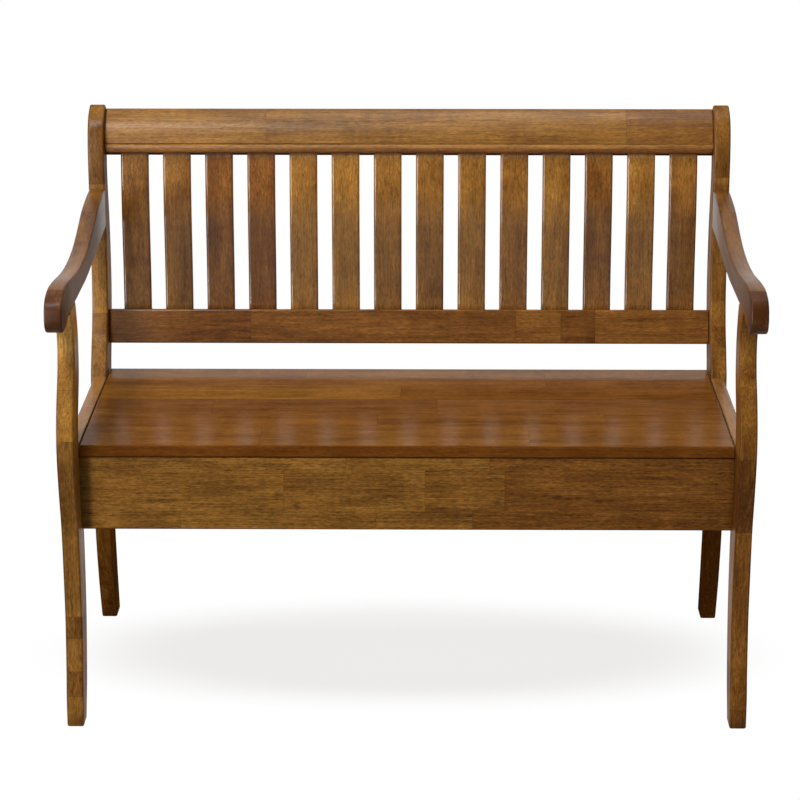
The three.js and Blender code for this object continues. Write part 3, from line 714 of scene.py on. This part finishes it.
sideLooks = {
    "left": {
        "leg": [(0.052, 0.1, 0.15), (0.092, -0.37, 0.2), (0.147, -0.08, 0.1), (0.1838, -0.5, 0.2),
                (0.492, -0.12, 0.05), (0.5697, 0.5, 0.05), (far, 0.75, 0.05)],
        # the post's stave below 0.345, the back leg under the seat, is painted darker as shade
        "post": [(0.345, -0.62, 0.4), (0.5705, -0.03, 0.1), (0.7, 0.9, 0.0), (0.8, 0.1, 0.1), (far, -0.5, 0.15)],
    },
    "right": {
        # the stave from 0.335 to 0.465, the leg's belly, is painted darker as shade
        "leg": [(0.0318, -0.87, 0.5), (0.1, -0.5, 0.4), (0.24, -0.25, 0.4), (0.335, -0.5, 0.4),
                (0.465, -1.0, 0.4), (0.564, -0.35, 0.3), (far, -0.25, 0.25)],
        # the post's stave below 0.345, the back leg under the seat, is painted darker as shade
        "post": [(0.345, -1.1, 0.4), (0.55, -0.3, 0.3), (0.66, 0.0, 0.3), (0.8, -0.3, 0.2), (0.813, -0.05, 0.1),
                 (far, -0.22, 0.15)],
    },
    "arm": [(-0.29, -0.95, 0.2), (far, -0.24, 0.05)],
    "rail": [(far, 0.05, 0.3)],
}
for word in ("left", "right"):
    look = sideLooks[word]
    for name, wood, slotName, axes, staves in (
        ("front_leg", "leg", "golden_wood", (yAxis, zAxis), look["leg"]),
        ("back_post", "post", "golden_wood", (yAxis, zAxis), look["post"]),
        ("arm", "arm", "reddish_wood", (zAxis, yAxis), sideLooks["arm"]),
        ("side_rail", "sideRail", "reddish_wood", (zAxis, yAxis), sideLooks["rail"]),
        ("lid_batten", "sideRail", "dark_wood", (zAxis, yAxis), sideLooks["rail"]),
    ):
        dressBoard(f"{name}_{word}", wood, slotName, [(far, staves)], *axes)
dressBoard("back_apron", "inner", "dark_wood", railLook["rows"])
print("boards dressed")


# Rows: a Geometry Nodes tree sets one shape on every point

def endRow(tree, given, end, shape, turn=(0, 0, 0)):
    inputs = {"Points": given["Geometry"], "Instance": shape, "Rotation": turn}
    placed = addNode(tree, "GeometryNodeInstanceOnPoints", inputs)
    solid = addNode(tree, "GeometryNodeRealizeInstances", {"Geometry": placed.outputs["Instances"]})
    inputs = {"Geometry": solid.outputs["Geometry"], "Material": given["Finish"]}
    feed(tree, addNode(tree, "GeometryNodeSetMaterial", inputs).outputs["Geometry"], end["Geometry"])


def plainMeshFrom(worker, pieceName):  # the evaluated result as an ordinary mesh, with no modifier left
    bpy.context.view_layer.update()
    depsgraph = bpy.context.evaluated_depsgraph_get()
    mesh = bpy.data.meshes.new_from_object(worker.evaluated_get(depsgraph))
    mesh.name = pieceName
    bpy.data.objects.remove(worker)
    return addObject(pieceName, mesh)


def runTree(tree, pieceName, points, inputs):
    worker = addObject(pieceName + "Worker", points)
    modifier = worker.modifiers.new(tree.name, "NODES")
    modifier.node_group = tree
    for item in tree.interface.items_tree:
        if item.item_type == "SOCKET" and item.in_out == "INPUT" and item.name in inputs:
            modifier[item.identifier] = inputs[item.name]
    return plainMeshFrom(worker, pieceName)


# Back slats: a rounded outline is swept along the slat's bent middle line, and repeated between the posts

slatSizes = {
    "width": 0.049,
    "thickness": 0.012,
    "roundover": 0.0045,
    "cornerPoints": 4,
    "pitch": 0.074,
    "levels": 25,  # points along the middle line
    "sharpAngle": 50,
    "seeds": (2.0, 1.9),  # the first slat's, and the step to the next
    "tones": [-0.6, -0.36, -0.56, -0.5, 0.0, 0.14, -0.12, -0.2, 0.18, 0.04, 0.07, -0.28, 0.09, -0.16],
    "warmths": [0.2, 0.15, 0.45, 0.5, 0.1, 0.05, 0.2, 0.25, 0.15, 0.3, 0.1, 0.35, 0.1, 0.3],
}


def slatCentreLine():  # the solid's own middle, level by level
    solid = nodes["slat_07"].data
    points = [vert.co.copy() for vert in solid.vertices]
    edges = [[points[index] for index in edge.vertices] for edge in solid.edges]
    low, high = (corner[2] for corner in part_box("slat_07"))
    middles = []
    for step in range(slatSizes["levels"]):
        level = low + (high - low) * step / (slatSizes["levels"] - 1)
        depths = []
        for first, last in edges:
            if (first.z - level) * (last.z - level) < 0:
                share = (level - first.z) / (last.z - first.z)
                depths.append(first.y + share * (last.y - first.y))
            elif abs(first.z - level) < sliver:
                depths.append(first.y)
        middles.append((level, (min(depths) + max(depths)) / 2))
    return middles


def makeSlatTree():
    tree, given, end = newGroup(
        "Geometry", "slatRow",
        {"Geometry": "Geometry", "Centre Line": "Object", "Width": 0.0, "Thickness": 0.0, "Roundover": 0.0,
         "Finish": "Material"},
        ["Geometry"],
    )
    line = addNode(tree, "GeometryNodeObjectInfo", {"Object": given["Centre Line"]})
    inputs = {"Curve": line.outputs["Geometry"], "Normal": (1.0, 0.0, 0.0)}
    turned = addNode(tree, "GeometryNodeSetCurveNormal", inputs, mode="FREE")
    inputs = {"Width": given["Width"], "Height": given["Thickness"]}
    outline = addNode(tree, "GeometryNodeCurvePrimitiveQuadrilateral", inputs)
    inputs = {"Curve": outline.outputs["Curve"], "Radius": given["Roundover"], "Count": slatSizes["cornerPoints"]}
    rounded = addNode(tree, "GeometryNodeFilletCurve", inputs, mode="POLY")
    inputs = {"Curve": turned.outputs["Curve"], "Profile Curve": rounded.outputs["Curve"], "Fill Caps": True}
    swept = addNode(tree, "GeometryNodeCurveToMesh", inputs)
    endRow(tree, given, end, swept.outputs["Mesh"])
    return tree


def makeSlats():
    names = sorted(name for name in nodes if name.startswith("slat_"))
    spots = bpy.data.meshes.new("slatSpots")
    count = len(names)
    middle = (count - 1) / 2
    spots.from_pydata([((index - middle) * slatSizes["pitch"], 0, 0) for index in range(count)], [], [])
    firstSeed, seedStep = slatSizes["seeds"]
    seeds = [firstSeed + seedStep * index for index in range(count)]
    looks = {"staveTone": slatSizes["tones"], "staveWarmth": slatSizes["warmths"], "staveSeed": seeds}
    for label, values in looks.items():
        spots.attributes.new(label, "FLOAT", "POINT").data.foreach_set("value", values)
    curve = bpy.data.curves.new("slatLine", "CURVE")
    curve.dimensions = "3D"
    line = slatCentreLine()
    spline = curve.splines.new("POLY")
    spline.points.add(len(line) - 1)
    for point, (level, depth) in zip(spline.points, line):
        point.co = (0, depth, level, 1)
    guide = addObject("slatLine", curve)
    piece = runTree(makeSlatTree(), "backSlats", spots, {
        "Centre Line": guide, "Width": slatSizes["width"], "Thickness": slatSizes["thickness"],
        "Roundover": slatSizes["roundover"], "Finish": woods["slat"],
    })
    bpy.data.objects.remove(guide)
    settle(piece, names, slatSizes["sharpAngle"], even=True)


makeSlats()


# Hinges and screws: turned parts, set in rows by one tree

hingeScrew = {"head": 0.0028, "shank": 0.0014, "length": 0.012, "metal": "brass"}
fittings = {
    "screws": {  # row: its nodes, which way it is driven, its sizes, and its metal
        "hingeFrameScrews": {"node": "hinge_frame_screw_", "up": False, **hingeScrew},
        "hingeLidScrews": {"node": "hinge_lid_screw_", "up": True, **hingeScrew},
        "battenScrews": {"node": "batten_screw_", "up": True, "head": 0.004, "shank": 0.002, "length": 0.028,
                         "metal": "zinc_steel"},
    },
    "headRim": 0.0003,
    "plainShank": 0.4,  # share of the screw's length with no thread
    "tipLength": 2.5,  # in shank radii
    "threadPitch": 0.0011,
    "threadDepth": 0.25,
    "recess": {"reach": 0.62, "narrowing": 0.4, "depth": 0.5, "corner": 0.366},  # shares of the head's radius
    "knuckles": 5,
    "knuckleGap": 0.0004,
    "knuckleEase": 0.0002,
    "barrelRadius": 0.0032,
    "boreRadius": 0.00155,
    "tabShort": 0.0006,  # how far before the bore a leaf's tab ends
    "pinRadius": 0.0015,
    "pinDome": [(0.0, 0.0), (0.5, 0.1), (0.82, 0.35), (1.0, 0.75)],  # shares of the pin's radius, from its end
    "leafDepth": 0.015,
    "leafThickness": 0.0015,
    "cornerRadius": 0.0025,
    "cornerSteps": 6,
    "holeEase": (0.0001, 0.0002),  # round the head, round the shank
    "holePast": (0.0005, 0.003),  # over the leaf's face, and under it
}
sides = {"screw": 24, "cross": 12, "barrel": 32}
firstAngle = -15  # turns a screw's cross onto the bench's own axes


def ringOf(mesh, radius, height, angles):
    turns = [radians(angle) for angle in angles]
    return [mesh.verts.new((radius * cos(turn), radius * sin(turn), height)) for turn in turns]


def latheRings(mesh, profile, count):
    rings = []
    for radius, height in profile:
        angles = [360 / count * step + firstAngle for step in range(count)]
        rings.append(ringOf(mesh, radius, height, angles if radius else [0]))
    return rings


def skinRings(mesh, rings):
    for low, high in zip(rings, rings[1:]):
        for step in range(max(len(low), len(high))):
            lows = [low[each % len(low)] for each in (step, step + 1)]
            highs = [high[each % len(high)] for each in (step + 1, step)]
            mesh.faces.new(list(dict.fromkeys(lows + highs)))


def partFrom(mesh, name):
    bmesh.ops.recalc_face_normals(mesh, faces=mesh.faces)
    data = bpy.data.meshes.new(name)
    mesh.to_mesh(data)
    mesh.free()
    return addObject(name, data)


def makeScrew(sizes):  # a countersunk screw with a cross recess, driven along +Z from its head's face at 0
    head, shank, length = sizes["head"], sizes["shank"], sizes["length"]
    rimHeight, pitch = fittings["headRim"], fittings["threadPitch"]
    core = shank * (1 - fittings["threadDepth"])
    level = length * fittings["plainShank"]
    profile = [(head, 0), (head, rimHeight), (shank, rimHeight + head - shank), (shank, level)]
    while level < length - fittings["tipLength"] * shank:
        level += pitch
        profile += [(core, level - pitch / 2), (shank, level)]
    profile += [(core, level + pitch / 2), (0, length)]
    mesh = bmesh.new()
    rings = latheRings(mesh, profile, sides["screw"])
    skinRings(mesh, rings)
    recess = fittings["recess"]
    tip = head * recess["reach"]
    crosses = []
    for scale, depth in ((1.0, 0.0), (recess["narrowing"], head * recess["depth"])):
        cross = []
        for step in range(sides["cross"]):  # two points at each arm's end, then one between two arms
            radius = (tip * recess["corner"] if step % 3 == 2 else tip) * scale
            cross += ringOf(mesh, radius, depth, [360 // sides["cross"] * step + firstAngle])
        crosses.append(cross)
    top, floor = crosses
    rim = rings[0]
    for step in range(sides["cross"]):
        after = (step + 1) % sides["cross"]
        mesh.faces.new([rim[2 * step], rim[2 * step + 1], rim[(2 * step + 2) % len(rim)], top[after], top[step]])
        mesh.faces.new([top[step], top[after], floor[after], floor[step]])
    mesh.faces.new(floor)
    return partFrom(mesh, "screwPart")


def makeRowTree():
    inputs = {"Geometry": "Geometry", "Part": "Object", "Finish": "Material"}
    tree, given, end = newGroup("Geometry", "fittingRow", inputs, ["Geometry"])
    part = addNode(tree, "GeometryNodeObjectInfo", {"Object": given["Part"]})
    turn = addNode(tree, "GeometryNodeInputNamedAttribute", {"Name": "turn"}, data_type="FLOAT_VECTOR")
    angles = next(each for each in turn.outputs if each.enabled and each.name == "Attribute")
    spin = addNode(tree, "FunctionNodeEulerToRotation", {0: angles})
    endRow(tree, given, end, part.outputs["Geometry"], spin.outputs[0])
    return tree


rowTree = makeRowTree()
alongX = (0, pi / 2, 0)


def placeRow(pieceName, part, spots, turn, finish):
    points = bpy.data.meshes.new(pieceName + "Spots")
    points.from_pydata(spots, [], [])
    points.attributes.new("turn", "FLOAT_VECTOR", "POINT").data.foreach_set("vector", list(turn) * len(spots))
    piece = runTree(rowTree, pieceName, points, {"Part": part, "Finish": finish})
    bpy.data.objects.remove(part)
    return piece


def middleOf(box):
    return tuple((low + high) / 2 for low, high in zip(*box))


def placeScrews():
    for pieceName, row in fittings["screws"].items():
        names = sorted(name for name in nodes if name.startswith(row["node"]))
        spots = []
        for name in names:
            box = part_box(name)
            spots.append(middleOf(box)[:2] + (box[0][2] if row["up"] else box[1][2],))
        turn = (0, 0, 0) if row["up"] else (pi, 0, 0)
        piece = placeRow(pieceName, makeScrew(row), spots, turn, metals[row["metal"]])
        settle(piece, names)


def makeKnuckle(length):
    half = length / 2
    outer, bore, ease = (fittings[name] for name in ("barrelRadius", "boreRadius", "knuckleEase"))
    profile = [(bore, -half), (outer - ease, -half), (outer, -half + ease), (outer, half - ease),
               (outer - ease, half), (bore, half)]
    mesh = bmesh.new()
    rings = latheRings(mesh, profile, sides["barrel"])
    skinRings(mesh, rings + rings[:1])
    return partFrom(mesh, "knucklePart")


def makePin(half):
    radius = fittings["pinRadius"]
    profile = [(share * radius, back * radius - half) for share, back in fittings["pinDome"]]
    profile += [(size, -level) for size, level in reversed(profile)]
    mesh = bmesh.new()
    skinRings(mesh, latheRings(mesh, profile, sides["barrel"]))
    return partFrom(mesh, "pinPart")


def makeHoles(spots, level, way):  # countersunk holes from the level's face, way is 1 upwards and -1 downwards
    head, shank, rimHeight = hingeScrew["head"], hingeScrew["shank"], fittings["headRim"]
    roundHead, roundShank = fittings["holeEase"]
    over, under = fittings["holePast"]
    profile = [(0, -over), (head + roundHead, -over), (head + roundHead, rimHeight),
               (shank + roundShank, head - shank + rimHeight), (shank + roundShank, under), (0, under)]
    cutter = bmesh.new()
    for x, y in spots:
        before = len(cutter.verts)
        raised = [(size, level + way * depth) for size, depth in profile]
        skinRings(cutter, latheRings(cutter, raised, sides["screw"]))
        cutter.verts.ensure_lookup_table()
        bmesh.ops.translate(cutter, verts=cutter.verts[before:], vec=(x, y, 0))
    return partFrom(cutter, "leafHoles")


def makePlate(low, high, tabs, tabRear, holes):  # a leaf with rounded corners, tabs to its knuckles and sunk holes
    radius, steps = fittings["cornerRadius"], fittings["cornerSteps"]
    rear = low[1] + fittings["leafDepth"]
    outline = []
    for centre, start in ((low[0] + radius, 180), (high[0] - radius, 270)):
        for step in range(steps + 1):
            turn = radians(start + 90 / steps * step)
            outline.append((centre + radius * cos(turn), low[1] + radius + radius * sin(turn)))
    outline.append((high[0], rear))
    for start, end in sorted(tabs, reverse=True):
        outline += [(end, rear), (end, tabRear), (start, tabRear), (start, rear)]
    outline.append((low[0], rear))
    mesh = bmesh.new()
    bottom, top = ([mesh.verts.new((x, y, level)) for x, y in outline] for level in (low[2], high[2]))
    mesh.faces.new(bottom)
    mesh.faces.new(top)
    for step in range(len(outline)):
        after = (step + 1) % len(outline)
        mesh.faces.new([bottom[step], bottom[after], top[after], top[step]])
    plate = partFrom(mesh, "leafPlate")
    sink = plate.modifiers.new("sink", "BOOLEAN")
    sink.operation = "DIFFERENCE"
    sink.solver = "EXACT"
    sink.object = holes
    piece = plainMeshFrom(plate, "leafPlate")
    bpy.data.objects.remove(holes)
    return piece


def joined(pieceName, pieces, finish):
    mesh = bmesh.new()
    for piece in pieces:
        mesh.from_mesh(piece.data)
        bpy.data.objects.remove(piece)
    for face in mesh.faces:
        face.material_index = 0
    whole = partFrom(mesh, pieceName)
    whole.data.materials.append(finish)
    return whole


def placeHinges():
    brass = metals["brass"]
    for leaf, parity, headUp in (("frame", 0, True), ("lid", 1, False)):
        parts, spots, names = [], [], []
        for word in ("left", "right"):
            name = f"hinge_{leaf}_leaf_{word}"
            names.append(name)
            low, high = (list(corner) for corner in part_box(name))
            axis = middleOf(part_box(f"hinge_pin_{word}"))[1:]
            screws = [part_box(f"hinge_{leaf}_screw_{word}_{count}") for count in (1, 2, 3)]
            face = screws[0][1][2] if headUp else screws[0][0][2]
            way = -1 if headUp else 1
            low[2], high[2] = sorted((face, face + way * fittings["leafThickness"]))
            pitch = (high[0] - low[0]) / fittings["knuckles"]
            gap = fittings["knuckleGap"]
            own = range(parity, fittings["knuckles"], 2)
            tabs = [(low[0] + pitch * each + gap / 2, low[0] + pitch * (each + 1) - gap / 2) for each in own]
            tabRear = axis[0] - fittings["boreRadius"] - fittings["tabShort"]
            holes = makeHoles([middleOf(box)[:2] for box in screws], face, way)
            parts.append(makePlate(low, high, tabs, tabRear, holes))
            spots += [((start + end) / 2, *axis) for start, end in tabs]
        knuckle = makeKnuckle(tabs[0][1] - tabs[0][0])
        parts.append(placeRow("knuckles", knuckle, spots, alongX, brass))
        settle(joined(f"hinge{leaf.capitalize()}Leaves", parts, brass), names)
    pins = ["hinge_pin_left", "hinge_pin_right"]
    boxes = [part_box(name) for name in pins]
    pin = makePin((boxes[0][1][0] - boxes[0][0][0]) / 2)
    settle(placeRow("hingePins", pin, [middleOf(box) for box in boxes], alongX, brass), pins)


placeScrews()
placeHinges()
print("hinges and screws placed")


# The storage box keeps its solids and gets its finish

for name in nodes:
    if name.startswith("cleat_") or name == "box_bottom":
        nodes[name].data.materials.clear()
        nodes[name].data.materials.append(pine)
print("storage box painted")


# Camera, floor and light

studio = {
    "cameraPlace": (0.03216, -4.19846, 1.79345),
    "yaw": -0.6133,
    "pitch": 17.3294,
    "roll": 0.0444,
    "lens": 117.0,
    "sensor": 36.0,
    "farthest": 60.0,
    "floorRadius": 9.0,
    "floorSides": 64,
    "floorGlow": 0.79,
    "floorPaint": 0.4,
    "floorReturn": 0.4,
    "shadeCentre": (0.0, 0.06, 0.0),
    "shadeScale": (0.7, 1.8, 1.0),
    "shadeFade": (0.26, 0.5),
    "air": 0.08,
    "airInGloss": 0.12,
    "backdropFrom": (-0.1, 0.4),  # which way the white backdrop begins, behind the bench
    "lamps": {  # place, aim, size, power
        "keyLamp": ((-1.3, -2.2, 4.3), (0, -0.1, 0.5), 1.15, 165),
        "topLamp": ((0, 0, 3.2), (0, 0, 0), 2, 24),
        "shadeLamp": ((0, 0, 3.2), (0, 0, 0), 2, 54),
        "fillLamp": ((2.2, -3.4, 1.9), (0, 0, 0.5), 1.8, 6),
        "sideLamp": ((-3.2, -0.7, 1.3), (0, 0, 0.7), 1.2, 14),
        "edgeLamp": ((-2.7, -2.5, 0.95), (0, 0.3, 0.75), 3.2, 470),
        "sheenLamp": ((0.2, 0.45, 2.9), (0.15, 0.3, 0.9), 1, 22),
    },
    "floorOnly": ["shadeLamp"],  # casts the bench's soft shadow, while the others light the bench alone
    "glossOnly": ["edgeLamp", "sheenLamp"],  # only glint on the lacquer
}


def makeCamera():
    yaw, pitch, roll = (radians(studio[name]) for name in ("yaw", "pitch", "roll"))
    forward = Vector((sin(yaw) * cos(pitch), cos(yaw) * cos(pitch), -sin(pitch)))
    right = Vector((cos(yaw), -sin(yaw), 0))
    down = forward.cross(right)
    right, down = cos(roll) * right + sin(roll) * down, cos(roll) * down - sin(roll) * right
    data = bpy.data.cameras.new("viewCamera")
    data.lens = studio["lens"]
    data.sensor_width = studio["sensor"]
    data.clip_end = studio["farthest"]
    camera = addObject("viewCamera", data)
    turn = Matrix((right, -down, -forward)).transposed()
    camera.matrix_world = Matrix.Translation(studio["cameraPlace"]) @ turn.to_4x4()
    bpy.context.scene.camera = camera


def makeLamps(floor):
    linked = {}
    for name, state in (("offFloor", "EXCLUDE"), ("floorOnly", "INCLUDE")):
        linked[name] = bpy.data.collections.new(name)
        linked[name].objects.link(floor)
        linked[name].collection_objects[0].light_linking.link_state = state
    for name, (place, aim, size, power) in studio["lamps"].items():
        data = bpy.data.lights.new(name, "AREA")
        data.shape = "SQUARE"
        data.size = size
        data.energy = power
        lamp = addObject(name, data)
        turn = (Vector(aim) - Vector(place)).to_track_quat("-Z", "Y")
        lamp.matrix_world = Matrix.Translation(place) @ turn.to_matrix().to_4x4()
        lamp.visible_camera = False
        lamp.visible_diffuse = name not in studio["glossOnly"]
        lit = "floorOnly" if name in studio["floorOnly"] else "offFloor"
        lamp.light_linking.receiver_collection = linked[lit]


def mixOver(tree, amount, under, over, output):  # the over shader covers the under one by the amount
    mix = addNode(tree, "ShaderNodeMixShader", {0: amount, 1: under.outputs[0], 2: over.outputs[0]})
    feed(tree, mix.outputs[0], addNode(tree, output).inputs["Surface"])


def makeWorld():
    world = bpy.data.worlds.new("studioAir")
    bpy.context.scene.world = world
    world.use_nodes = True
    tree = world.node_tree
    tree.nodes.clear()
    path = addNode(tree, "ShaderNodeLightPath").outputs
    direction = addNode(tree, "ShaderNodeTexCoord").outputs["Generated"]
    behind = spread(tree, partOf(tree, direction, "Y"), *studio["backdropFrom"])
    bounced = maths(tree, "ADD", path["Is Glossy Ray"], path["Is Transmission Ray"], True)
    seen = maths(tree, "ADD", path["Is Camera Ray"], times(tree, bounced, behind), True)
    strength = spread(tree, bounced, 0.0, 1.0, studio["air"], studio["airInGloss"])
    air = addNode(tree, "ShaderNodeBackground", {"Strength": strength})
    white = addNode(tree, "ShaderNodeBackground", {"Color": (1, 1, 1, 1), "Strength": 1.0})
    mixOver(tree, seen, air, white, "ShaderNodeOutputWorld")


def makeFloorPaint():  # matte, with its own glow, and running out into the white backdrop
    material = bpy.data.materials.new("studioFloor")
    material.use_nodes = True
    tree = material.node_tree
    tree.nodes.clear()
    path = addNode(tree, "ShaderNodeLightPath").outputs
    bounced = maths(tree, "ADD", path["Is Glossy Ray"], path["Is Transmission Ray"])
    seen = maths(tree, "ADD", path["Is Camera Ray"], bounced, True)
    back = times(tree, path["Is Diffuse Ray"], studio["floorReturn"])
    strength = spread(tree, seen, 0.0, 1.0, back, studio["floorGlow"])
    glow = addNode(tree, "ShaderNodeEmission", {"Strength": strength})
    matte = addNode(tree, "ShaderNodeBsdfDiffuse", {"Color": (studio["floorPaint"],) * 3 + (1,)})
    both = addNode(tree, "ShaderNodeAddShader", {0: matte.outputs[0], 1: glow.outputs[0]})
    place = addNode(tree, "ShaderNodeTexCoord").outputs["Object"]
    place = vectorMaths(tree, "SUBTRACT", place, studio["shadeCentre"])
    place = vectorMaths(tree, "MULTIPLY", place, studio["shadeScale"])
    faded = spread(tree, vectorMaths(tree, "LENGTH", place, output="Value"), *studio["shadeFade"])
    white = addNode(tree, "ShaderNodeEmission")
    mixOver(tree, times(tree, faded, seen), both, white, "ShaderNodeOutputMaterial")
    return material


def makeFloor():
    mesh = bpy.data.meshes.new("studioFloor")
    disc = bmesh.new()
    segments, radius = studio["floorSides"], studio["floorRadius"]
    bmesh.ops.create_circle(disc, cap_ends=True, segments=segments, radius=radius)
    disc.to_mesh(mesh)
    disc.free()
    mesh.materials.append(makeFloorPaint())
    floor = addObject("studioFloor", mesh)
    return floor


makeCamera()
makeWorld()
makeLamps(makeFloor())
bpy.context.scene.view_settings.view_transform = "Standard"
print("studio set")
